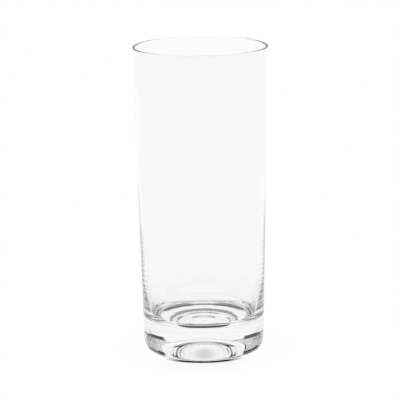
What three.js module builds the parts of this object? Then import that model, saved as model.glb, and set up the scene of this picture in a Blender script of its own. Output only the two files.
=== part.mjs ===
// Tall tumbler (highball glass), pressed in one piece from clear glass.
// Millimetres, +Z up. The origin is the centre of the foot, on the surface that the glass stands on.
import * as THREE from 'three';

// Driving dimensions
const height = 145; // foot to the top of the rim
const rimDiameter = 63.2; // outside of the wall, carried up to the top
const footDiameter = 56.4; // outside of the wall, carried down to the foot
const wall = 1.2; // wall thickness from the rim down to the sweep
const floorHeight = 15.5; // inside floor above the foot
const cornerRadius = 4.8; // inside round between the sweep and the floor
const sweepRise = 38.5; // how far above the floor the wall starts to thicken
const sweepRadius = 270; // slow curve that thickens the wall towards the base
const heelRise = 7; // height of the oval round between the foot and the wall
const heelRun = 4.2; // how far that round draws in from the wall
const puntDiameter = 31; // mouth of the hollow under the base
const puntDepth = 7; // height of that hollow in the middle
const puntEdgeRadius = 1.1; // round where the hollow runs out on to the foot ring

// Facets
const sides = 72; // flats round the glass
const arcDivisions = 4; // each round of the section has twice as many straight steps

const glass = new THREE.MeshStandardMaterial({
  color: 0xf3f6f6,
  roughness: 0.02,
  metalness: 0,
  transparent: true,
  opacity: 0.3,
});

// The outside of the wall is a straight line in the section that leans out by this angle.
const footRadius = footDiameter / 2;
const lean = Math.atan2(rimDiameter / 2 - footRadius, height);

// Distance from the axis of a line parallel to the outside wall, a given depth inside it.
function wallLineRadius(depth, z) {
  return footRadius + z * Math.tan(lean) - depth / Math.cos(lean);
}

// Underside: a dome on the axis that rolls over a small round on to the flat foot ring.
function addPunt(section) {
  const mouthRadius = puntDiameter / 2;
  const domeRadius = (mouthRadius ** 2 + puntDepth ** 2) / (2 * puntDepth);
  const domeZ = puntDepth - domeRadius;
  const edgeX = Math.sqrt((domeRadius + puntEdgeRadius) ** 2 - (puntEdgeRadius - domeZ) ** 2);
  const edgeAngle = Math.atan2(puntEdgeRadius - domeZ, edgeX);
  section.absarc(0, domeZ, domeRadius, Math.PI / 2, edgeAngle, true);
  section.absarc(edgeX, puntEdgeRadius, puntEdgeRadius, edgeAngle + Math.PI, 1.5 * Math.PI, false);
}

// Outside: an oval heel rises from the foot ring into the straight wall, which a full round closes at the rim.
// The middle of the oval is level with heelRise and is set in so that the leaning wall only touches it.
function addOutside(section) {
  const heelLean = heelRise * Math.tan(lean);
  const heelX = wallLineRadius(0, heelRise) - Math.hypot(heelRun, heelLean);
  const heelEnd = -Math.atan2(heelLean, heelRun);
  const lipRadius = wall / 2;
  const lipZ = height - lipRadius;
  const lipX = wallLineRadius(lipRadius, lipZ);
  section.absellipse(heelX, heelRise, heelRun, heelRise, -Math.PI / 2, heelEnd, false, 0);
  section.absarc(lipX, lipZ, lipRadius, -lean, Math.PI - lean, false);
}

// Inside: parallel to the outside down to the sweep, which runs into the corner and the flat floor.
function addInside(section) {
  const sweepTopZ = floorHeight + sweepRise;
  const sweepX = wallLineRadius(wall, sweepTopZ) - sweepRadius * Math.cos(lean);
  const sweepZ = sweepTopZ + sweepRadius * Math.sin(lean);
  const cornerZ = floorHeight + cornerRadius;
  const cornerX = sweepX + Math.sqrt((sweepRadius - cornerRadius) ** 2 - (sweepZ - cornerZ) ** 2);
  const joinAngle = Math.atan2(cornerZ - sweepZ, cornerX - sweepX);
  section.absarc(sweepX, sweepZ, sweepRadius, -lean, joinAngle, true);
  section.absarc(cornerX, cornerZ, cornerRadius, joinAngle, -Math.PI / 2, true);
  section.lineTo(0, floorHeight);
}

// The whole glass is one section turned about its axis.
// It runs out along the underside, up the outside, over the rim and down the inside.
function tumblerGlass() {
  const section = new THREE.Path();
  addPunt(section);
  addOutside(section);
  addInside(section);
  const points = section.getPoints(arcDivisions);
  points[0].x = 0; // the top of the dome lies exactly on the axis
  const mesh = new THREE.Mesh(new THREE.LatheGeometry(points, sides), glass);
  mesh.name = 'tumbler_glass';
  mesh.rotation.x = Math.PI / 2; // the turned section stands up along +Z
  return mesh;
}

const tumbler = new THREE.Group();
tumbler.add(tumblerGlass());

export default tumbler;
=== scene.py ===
import math

import bmesh
import bpy
from mathutils import Matrix, Vector


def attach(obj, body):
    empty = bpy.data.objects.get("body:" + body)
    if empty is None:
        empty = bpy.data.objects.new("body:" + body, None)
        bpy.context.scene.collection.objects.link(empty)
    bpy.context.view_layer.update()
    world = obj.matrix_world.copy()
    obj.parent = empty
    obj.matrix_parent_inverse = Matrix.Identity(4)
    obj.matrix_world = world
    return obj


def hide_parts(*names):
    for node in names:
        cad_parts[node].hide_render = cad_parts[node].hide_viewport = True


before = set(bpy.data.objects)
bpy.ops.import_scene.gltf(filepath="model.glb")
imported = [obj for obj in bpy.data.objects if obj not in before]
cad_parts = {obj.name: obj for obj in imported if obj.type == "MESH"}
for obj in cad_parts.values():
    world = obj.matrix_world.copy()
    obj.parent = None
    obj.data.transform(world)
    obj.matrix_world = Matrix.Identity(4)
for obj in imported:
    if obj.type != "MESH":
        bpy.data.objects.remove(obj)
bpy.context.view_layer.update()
scene = bpy.context.scene
mm = 0.001


# hex sRGB to the linear colour that the shaders take
def linearColour(hexValue):
    parts = [int(hexValue[i:i + 2], 16) / 255 for i in (1, 3, 5)]
    parts = [p / 12.92 if p <= 0.04045 else ((p + 0.055) / 1.055) ** 2.4 for p in parts]
    return (*parts, 1.0)


# adds a node with its settings, and fills or links its inputs by place (at0, at1 ...) or by name
def addNode(tree, kind, settings=None, **inputs):
    node = tree.nodes.new(kind)
    for name, value in (settings or {}).items():
        if name != "stops":
            setattr(node, name, value)
            continue
        stops = node.color_ramp.elements  # grey levels along a ramp
        stops.remove(stops[1])
        stops[0].position, stops[0].color = value[0][0], (value[0][1],) * 3 + (1,)
        for place, level in value[1:]:
            stops.new(place).color = (level, level, level, 1)
    for name, value in inputs.items():
        socket = node.inputs[int(name[2:])] if name.startswith("at") else node.inputs[name.replace("_", " ")]
        if isinstance(value, bpy.types.NodeSocket):
            tree.links.new(value, socket)
        else:
            socket.default_value = value
    return node


# sizes of the glass in millimetres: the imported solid's, except that the wall starts to thicken
# higher up, by less than half a millimetre on the inside
glassSizes = {
    "height": 145.0,
    "rimDiameter": 63.2,
    "footDiameter": 56.4,
    "wall": 1.2,
    "floorHeight": 15.5,
    "cornerRadius": 4.8,
    "sweepRise": 64.5,  # above the floor, where the wall starts to thicken
    "sweepRadius": 1173.0,
    "sweepTurn": 2.15,  # degrees that the long sweep turns through
    "baseSweepRadius": 179.0,  # tighter sweep below it
    "heelRise": 7.0,
    "heelRun": 4.2,
    "puntDiameter": 31.0,
    "puntDepth": 7.0,
    "puntEdgeRadius": 1.1,
    "arcSteps": 24,
    "holdStep": 0.1,  # from the end of a straight run to its next ring
    "straightStep": 12.0,  # between the other rings of a straight run
    "sides": 288,
    "weld": 0.002,  # points closer than this become one
}


# points of an arc or of an oval in the section, from one angle to the other
def arcPoints(x, z, run, rise, start, end, steps):
    angles = [start + (end - start) * i / steps for i in range(steps + 1)]
    return [(x + run * math.cos(a), z + rise * math.sin(a)) for a in angles]


# points inside a straight run of the section, close to its ends so that its shading stays straight
def straightPoints(start, end, hold, spacing):
    length = math.dist(start, end)
    spans = max(1, round(length / spacing))
    shares = [hold / length, *[i / spans for i in range(1, spans)], 1 - hold / length]
    return [(start[0] + (end[0] - start[0]) * k, start[1] + (end[1] - start[1]) * k) for k in shares]


# half section: underside from the axis outwards, heel, wall, rim, inside wall, corner, floor
def sectionPoints(s):
    foot = s["footDiameter"] / 2
    lean = math.atan2(s["rimDiameter"] / 2 - foot, s["height"])
    steps = s["arcSteps"]

    def wallLine(depth, z):
        return foot + z * math.tan(lean) - depth / math.cos(lean)

    # domed hollow, rolled over on to the foot ring
    mouth = s["puntDiameter"] / 2
    depth = s["puntDepth"]
    edge = s["puntEdgeRadius"]
    dome = (mouth ** 2 + depth ** 2) / (2 * depth)
    domeZ = depth - dome
    edgeX = math.sqrt((dome + edge) ** 2 - (edge - domeZ) ** 2)
    edgeAngle = math.atan2(edge - domeZ, edgeX)
    punt = arcPoints(0, domeZ, dome, dome, math.pi / 2, edgeAngle, 2 * steps)
    punt += arcPoints(edgeX, edge, edge, edge, edgeAngle + math.pi, 1.5 * math.pi, steps)[1:]
    punt[0] = (0, depth)

    # oval heel, which the leaning wall only touches, and full round at the rim
    run, rise = s["heelRun"], s["heelRise"]
    heelLean = rise * math.tan(lean)
    heelX = wallLine(0, rise) - math.hypot(run, heelLean)
    heel = arcPoints(heelX, rise, run, rise, -math.pi / 2, -math.atan2(heelLean, run), 2 * steps)
    lip = s["wall"] / 2
    lipZ = s["height"] - lip
    rim = arcPoints(wallLine(lip, lipZ), lipZ, lip, lip, -lean, math.pi - lean, steps)

    # long sweep that runs into a tighter one, and that into the corner
    sweepTop = s["floorHeight"] + s["sweepRise"]
    sweep = s["sweepRadius"]
    sweepX = wallLine(s["wall"], sweepTop) - sweep * math.cos(lean)
    sweepZ = sweepTop + sweep * math.sin(lean)
    bend = -lean - math.radians(s["sweepTurn"])
    base = s["baseSweepRadius"]
    baseX = sweepX + (sweep - base) * math.cos(bend)
    baseZ = sweepZ + (sweep - base) * math.sin(bend)
    corner = s["cornerRadius"]
    cornerZ = s["floorHeight"] + corner
    cornerX = baseX + math.sqrt((base - corner) ** 2 - (baseZ - cornerZ) ** 2)
    join = math.atan2(cornerZ - baseZ, cornerX - baseX)
    inside = arcPoints(sweepX, sweepZ, sweep, sweep, -lean, bend, steps)
    inside += arcPoints(baseX, baseZ, base, base, bend, join, steps)[1:]
    inside += arcPoints(cornerX, cornerZ, corner, corner, join, -math.pi / 2, 3 * steps)[1:]

    points = punt
    for part in (heel, rim, inside, [(0, s["floorHeight"])]):
        points = points + straightPoints(points[-1], part[0], s["holdStep"], s["straightStep"]) + part
    return points


# Geometry Nodes: turns a section that lies in the XY plane about the Z axis
def turningTree(material):
    tree = bpy.data.node_groups.new("turnAboutAxis", "GeometryNodeTree")
    sockets = tree.interface
    sockets.new_socket("Section", in_out="INPUT", socket_type="NodeSocketGeometry")
    sockets.new_socket("Sides", in_out="INPUT", socket_type="NodeSocketInt")
    sockets.new_socket("Path radius", in_out="INPUT", socket_type="NodeSocketFloat")
    sockets.new_socket("Weld", in_out="INPUT", socket_type="NodeSocketFloat")
    sockets.new_socket("Glass", in_out="OUTPUT", socket_type="NodeSocketGeometry")
    given = tree.nodes.new("NodeGroupInput")
    path = addNode(tree, "GeometryNodeCurvePrimitiveCircle", Resolution=given.outputs["Sides"],
                   Radius=given.outputs["Path radius"])
    upright = addNode(tree, "GeometryNodeSetCurveNormal", {"mode": "Z_UP"}, Curve=path.outputs["Curve"])
    section = addNode(tree, "GeometryNodeMeshToCurve", Mesh=given.outputs["Section"])
    turned = addNode(tree, "GeometryNodeCurveToMesh", Curve=upright.outputs[0],
                     Profile_Curve=section.outputs[0])
    closed = addNode(tree, "GeometryNodeMergeByDistance", Geometry=turned.outputs[0],
                     Distance=given.outputs["Weld"])
    smooth = addNode(tree, "GeometryNodeSetShadeSmooth", at0=closed.outputs[0])
    real = addNode(tree, "GeometryNodeRealizeInstances", Geometry=smooth.outputs[0])
    painted = addNode(tree, "GeometryNodeSetMaterial", Geometry=real.outputs[0], Material=material)
    result = tree.nodes.new("NodeGroupOutput")
    tree.links.new(painted.outputs[0], result.inputs[0])
    return tree


# sizes of the glass's finish
glassFinish = {
    "colour": "#fbfbfb",
    "ior": 1.52,
    "absorption": 0.6,  # density per metre that light runs through the glass
    "waveSize": 16.0,  # mm from one swell of the surface to the next
    "waveHeight": 0.03,  # mm
    "scuffSize": 0.9,  # mm, coarser than real scuffs so that they show
    "scuffDetail": 3.0,
    "scuffStart": 0.45,  # noise level where the polish ends
    "scuffFull": 0.65,  # noise level of the dullest spots
    "scuffReach": 0.15,  # mm above the table
    "scuffRoughness": 0.12,
}


# pressed soda-lime glass, fire polished: colourless, mirror smooth and a touch grey through four
# surfaces, with slow swells left by the mould, and a foot ring that tables have scuffed dull in spots
def glassMaterial(s):
    material = bpy.data.materials.new("pressedSodaLimeGlass")
    material.use_nodes = True
    tree = material.node_tree
    tree.nodes.clear()
    place = addNode(tree, "ShaderNodeTexCoord").outputs["Object"]
    swells = addNode(tree, "ShaderNodeTexNoise", at2=1 / (s["waveSize"] * mm), Detail=0.0, Vector=place)
    waves = addNode(tree, "ShaderNodeBump", Distance=s["waveHeight"] * mm, Height=swells.outputs[0])
    level = addNode(tree, "ShaderNodeSeparateXYZ", at0=place).outputs[2]
    foot = addNode(tree, "ShaderNodeMapRange", at0=level, at1=0.0, at2=s["scuffReach"] * mm, at3=1.0, at4=0.0)
    grit = addNode(tree, "ShaderNodeTexNoise", at2=1 / (s["scuffSize"] * mm), Detail=s["scuffDetail"],
                   Vector=place)
    spots = addNode(tree, "ShaderNodeMapRange", at0=grit.outputs[0], at1=s["scuffStart"], at2=s["scuffFull"],
                    at3=0.0, at4=s["scuffRoughness"])
    scuffs = addNode(tree, "ShaderNodeMath", {"operation": "MULTIPLY"}, at0=foot.outputs[0],
                     at1=spots.outputs[0])
    surface = addNode(tree, "ShaderNodeBsdfPrincipled", Base_Color=linearColour(s["colour"]), IOR=s["ior"],
                      Transmission_Weight=1.0, Roughness=scuffs.outputs[0], Normal=waves.outputs[0])
    depth = addNode(tree, "ShaderNodeVolumeAbsorption", Color=(0, 0, 0, 1), Density=s["absorption"])
    addNode(tree, "ShaderNodeOutputMaterial", Surface=surface.outputs[0], Volume=depth.outputs[0])
    return material


# the section as a chain of edges, turned by the nodes, welded at the axis and faced outwards
def turnedGlass(name, sizes, material):
    points = sectionPoints(sizes)
    pathRadius = sizes["footDiameter"] / 2
    vertices = [((x - pathRadius) * mm, -z * mm, 0) for x, z in points]  # a path's own Y points down
    edges = [(i, i + 1) for i in range(len(points) - 1)]
    sectionMesh = bpy.data.meshes.new("glassSection")
    sectionMesh.from_pydata(vertices, edges, [])
    piece = bpy.data.objects.new(name, sectionMesh)
    scene.collection.objects.link(piece)
    tree = turningTree(material)
    modifier = piece.modifiers.new("turn", "NODES")
    modifier.node_group = tree
    values = {"Sides": sizes["sides"], "Path radius": pathRadius * mm, "Weld": sizes["weld"] * mm}
    for item in tree.interface.items_tree:
        if item.name in values:
            modifier[item.identifier] = values[item.name]
    depsgraph = bpy.context.evaluated_depsgraph_get()
    mesh = bpy.data.meshes.new_from_object(piece.evaluated_get(depsgraph))
    piece.modifiers.clear()
    outward = bmesh.new()
    outward.from_mesh(mesh)
    bmesh.ops.remove_doubles(outward, verts=outward.verts, dist=sizes["weld"] * mm)
    bmesh.ops.recalc_face_normals(outward, faces=outward.faces)
    outward.to_mesh(mesh)
    openEdges = sum(len(e.link_faces) != 2 for e in outward.edges)
    print("glass turned:", len(mesh.polygons), "faces,", openEdges, "open edges,",
          round(outward.calc_volume() / mm ** 3), "cubic mm of glass")
    outward.free()
    piece.data = mesh
    return piece


glass = turnedGlass("tumblerGlass", glassSizes, glassMaterial(glassFinish))
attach(glass, "root")
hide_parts("tumbler_glass")


# grey levels along one measure, from a list for each sector of angles round from the back;
# between two sectors the levels change evenly
def sectorLevels(tree, along, turn, reach, sectors):
    levels = None
    last = 0
    for start, end, values in sectors:
        stops = [(place / reach, level) for place, level in values]
        ramp = addNode(tree, "ShaderNodeValToRGB", {"stops": stops}, Fac=along).outputs[0]
        if levels:
            share = addNode(tree, "ShaderNodeMapRange", at0=turn, at1=math.radians(last),
                            at2=math.radians(start)).outputs[0]
            ramp = addNode(tree, "ShaderNodeMix", {"data_type": "FLOAT"}, at0=share, at2=levels,
                           at3=ramp).outputs[0]
        levels, last = ramp, end
    return levels


# light round the glass: a sector is degrees from and to, counted both ways from the middle of the
# backdrop, and levels by degrees up from the table, where 1 is white;
# a card is left, right, low and high edge, how soft its edges are, and its level
setSizes = {
    "zenith": 90,  # degrees up, where the levels end
    "sectors": [
        (0, 30, [(0, 1.0), (50, 1.0), (62, 0.9), (75, 0.65), (90, 0.48)]),  # white backdrop
        (33, 50, [(0, 1.0), (0.6, 1.0), (1.2, 0.02), (17, 0.02), (21, 0.9), (50, 1.0), (62, 0.9),
                  (75, 0.65), (90, 0.48)]),  # low black cards beside it
        (60, 100, [(0, 1.0), (4, 1.0), (5, 0.02), (27, 0.02), (32, 1.0), (50, 1.0), (65, 0.7),
                   (90, 0.45)]),  # sides
        (130, 180, [(0, 1.0), (4, 1.0), (5, 0.02), (30.5, 0.02), (35, 1.0), (45, 1.0), (60, 0.7),
                    (90, 0.45)]),  # behind the camera
    ],
    "cards": [
        (43, 63, 13.5, 20.5, 2.0, 0.55),  # dim light at the right
        (-31.5, -20, 13, 19, 1.5, 0.02),  # flag at the left
        (-15, 15, 5, 9.5, 1.0, 0.1),  # low seam of the backdrop
    ],
}


def studioWorld(s):
    world = bpy.data.worlds.new("studio")
    scene.world = world
    world.use_nodes = True
    tree = world.node_tree
    tree.nodes.clear()
    direction = addNode(tree, "ShaderNodeTexCoord").outputs["Generated"]
    axes = addNode(tree, "ShaderNodeSeparateXYZ", at0=direction).outputs
    angle = addNode(tree, "ShaderNodeMath", {"operation": "ARCTAN2"}, at0=axes[0], at1=axes[1]).outputs[0]
    turn = addNode(tree, "ShaderNodeMath", {"operation": "ABSOLUTE"}, at0=angle).outputs[0]
    rise = addNode(tree, "ShaderNodeMath", {"operation": "ARCSINE"}, at0=axes[2]).outputs[0]
    along = addNode(tree, "ShaderNodeMath", {"operation": "DIVIDE"}, at0=rise,
                    at1=math.radians(s["zenith"])).outputs[0]
    light = sectorLevels(tree, along, turn, s["zenith"], s["sectors"])
    for left, right, low, high, soft, level in s["cards"]:
        inside = 1.0
        for measure, start, end in ((angle, left, right), (rise, low, high)):
            for edge, way in ((start, soft), (end, -soft)):
                inside = addNode(tree, "ShaderNodeMapRange", at0=measure, at1=math.radians(edge - way / 2),
                                 at2=math.radians(edge + way / 2), at3=0.0, at4=inside).outputs[0]
        light = addNode(tree, "ShaderNodeMix", {"data_type": "FLOAT"}, at0=inside, at2=light,
                        at3=level).outputs[0]
    # the camera sees plain white, and the glass shows the sectors and the cards
    seen = addNode(tree, "ShaderNodeLightPath").outputs["Is Camera Ray"]
    strength = addNode(tree, "ShaderNodeMix", {"data_type": "FLOAT"}, at0=seen, at2=light, at3=1.0).outputs[0]
    background = addNode(tree, "ShaderNodeBackground", Color=(1, 1, 1, 1), Strength=strength)
    addNode(tree, "ShaderNodeOutputWorld", Surface=background.outputs[0])


# the table in millimetres: sectors are as above, with levels by the distance from the glass's axis;
# "sectors" is painted shade and painted light that only the glass shows of the table, dark and bright rings
# that stand in for the shade and the light that its foot leaves there, and "shade" is a painted contact shadow
# that the camera sees past the glass
tableSizes = {
    "halfWidth": 4000.0,
    "drop": 0.05,  # below the foot, so that the two don't flicker
    "paper": "#e7e7e7",
    "reach": 150.0,  # from the axis, where the levels end
    # painted shade and painted light: dark and bright rings under and round the foot, seen only through the
    # glass
    "sectors": [
        (0, 9, [(0, 1.0), (15.4, 1.0), (16, 0.02), (20, 0.02), (20.6, 1.0), (26.3, 1.0), (26.8, 0.02),
                (28.1, 0.02), (28.5, 0.95), (29, 0.95), (29.8, 0.7), (34, 0.7), (35.5, 1.0), (150, 1.0)]),
        (15, 29, [(0, 1.0), (15.4, 1.0), (16, 0.02), (19.8, 0.02), (20.4, 1.0), (25.3, 1.0), (25.8, 0.02),
                  (28.2, 0.02), (28.6, 0.35), (33, 0.4), (34, 1.0), (150, 1.0)]),
        (31, 38, [(0, 1.0), (15.4, 1.0), (16, 0.02), (19.5, 0.02), (20.2, 1.0), (24.6, 1.0), (25.2, 0.02),
                  (32, 0.02), (33, 1.0), (150, 1.0)]),
        (42, 50, [(0, 1.0), (15.4, 1.0), (16, 0.02), (19.2, 0.02), (19.8, 1.0), (24.4, 1.0), (25, 0.02),
                  (28, 0.02), (28.4, 1.0), (150, 1.0)]),
        (53, 68, [(0, 1.0), (15.5, 1.0), (16, 0.02), (18, 0.02), (18.6, 1.0), (25, 1.0), (25.6, 0.5),
                  (27.5, 0.5), (28, 1.0), (150, 1.0)]),
        (75, 98, [(0, 1.0), (15.6, 1.0), (16, 0.05), (17, 0.05), (17.6, 1.0), (21.5, 1.0), (22.5, 0.5),
                  (27, 0.5), (28, 1.0), (43, 1.0), (46, 0.25), (61, 0.25), (65, 1.0), (150, 1.0)]),
        (104, 136, [(0, 1.0), (28.3, 1.0), (28.6, 0.1), (32.3, 0.1), (33, 1.0), (150, 1.0)]),
        (139, 180, [(0, 1.0), (10.7, 1.0), (11.3, 0.01), (26.2, 0.01), (27.2, 1.0), (150, 1.0)]),
    ],
    # painted contact shadow round the foot, as the camera sees the table
    "shade": [
        (0, 135, [(0, 0.6), (22, 0.9), (27, 0.98), (45, 1.0), (150, 1.0)]),
        (155, 180, [(0, 0.01), (26.7, 0.01), (27.8, 0.93), (45, 1.0), (150, 1.0)]),
    ],
}


def studioTable(s):
    size = s["halfWidth"] * mm
    mesh = bpy.data.meshes.new("table")
    corners = [(-size, -size, 0), (size, -size, 0), (size, size, 0), (-size, size, 0)]
    mesh.from_pydata(corners, [], [(0, 1, 2, 3)])
    table = bpy.data.objects.new("studioTable", mesh)
    scene.collection.objects.link(table)
    material = bpy.data.materials.new("whiteStudioTableWithPaintedShade")
    material.use_nodes = True
    tree = material.node_tree
    tree.nodes.clear()
    place = addNode(tree, "ShaderNodeTexCoord").outputs["Object"]
    axes = addNode(tree, "ShaderNodeSeparateXYZ", at0=place).outputs
    radius = addNode(tree, "ShaderNodeVectorMath", {"operation": "LENGTH"}, at0=place).outputs["Value"]
    along = addNode(tree, "ShaderNodeMath", {"operation": "DIVIDE"}, at0=radius, at1=s["reach"] * mm).outputs[0]
    angle = addNode(tree, "ShaderNodeMath", {"operation": "ARCTAN2"}, at0=axes[0], at1=axes[1]).outputs[0]
    turn = addNode(tree, "ShaderNodeMath", {"operation": "ABSOLUTE"}, at0=angle).outputs[0]
    # painted shade and painted light under and round the foot, seen only through the glass
    paintedShadeAndLightUnderFoot = sectorLevels(tree, along, turn, s["reach"], s["sectors"])
    # painted contact shadow round the foot, for the camera
    shade = sectorLevels(tree, along, turn, s["reach"], s["shade"])
    # the camera and the glass see the glowing white with its painted shade and painted light, and other light
    # falls on the paper
    path = addNode(tree, "ShaderNodeLightPath").outputs
    level = addNode(tree, "ShaderNodeMix", {"data_type": "FLOAT"}, at0=path["Is Camera Ray"], at2=paintedShadeAndLightUnderFoot,
                    at3=shade).outputs[0]
    glowWithPaintedShade = addNode(tree, "ShaderNodeEmission", Strength=level)
    paper = addNode(tree, "ShaderNodeBsdfDiffuse", Color=linearColour(s["paper"]))
    seen = addNode(tree, "ShaderNodeMath", {"operation": "MAXIMUM"}, at0=path["Is Camera Ray"],
                   at1=path["Is Glossy Ray"]).outputs[0]
    seen = addNode(tree, "ShaderNodeMath", {"operation": "MAXIMUM"}, at0=seen,
                   at1=path["Is Transmission Ray"]).outputs[0]
    mixed = addNode(tree, "ShaderNodeMixShader", at0=seen, at1=paper.outputs[0], at2=glowWithPaintedShade.outputs[0])
    addNode(tree, "ShaderNodeOutputMaterial", Surface=mixed.outputs[0])
    mesh.materials.append(material)
    table.location.z = -s["drop"] * mm


studioWorld(setSizes)
studioTable(tableSizes)
print("studio set:", len(setSizes["cards"]), "cards")

# the photograph's view, in millimetres and degrees; the shifts are shares of the frame
cameraSizes = {
    "distance": 1160.0,
    "height": 318.2,
    "target": 72.0,  # height on the glass's axis that it looks at
    "lens": 226.96,
    "sensor": 36.0,
    "roll": -0.77,
    "shiftX": -0.005375,
    "shiftY": -0.00135,
    "sight": 50000.0,  # how far it sees
}


def studioCamera(s):
    data = bpy.data.cameras.new("camera")
    data.sensor_width = s["sensor"]
    data.lens = s["lens"]
    data.shift_x = s["shiftX"]
    data.shift_y = s["shiftY"]
    data.clip_end = s["sight"] * mm
    camera = bpy.data.objects.new("camera", data)
    scene.collection.objects.link(camera)
    place = Vector((0, -s["distance"], s["height"])) * mm
    forward = (Vector((0, 0, s["target"])) * mm - place).normalized()
    right = Vector((1, 0, 0))
    up = right.cross(forward)
    roll = math.radians(s["roll"])
    tilted = right * math.cos(roll) + up * math.sin(roll)
    upright = up * math.cos(roll) - right * math.sin(roll)
    axes = Matrix((tilted, upright, -forward)).transposed()
    camera.matrix_world = Matrix.Translation(place) @ axes.to_4x4()
    scene.camera = camera


studioCamera(cameraSizes)
scene.view_settings.view_transform = "Standard"
lightBounces = 1024  # light runs a long way inside a clear wall
scene.cycles.max_bounces = lightBounces
scene.cycles.transmission_bounces = lightBounces
scene.cycles.glossy_bounces = lightBounces
print("camera placed")
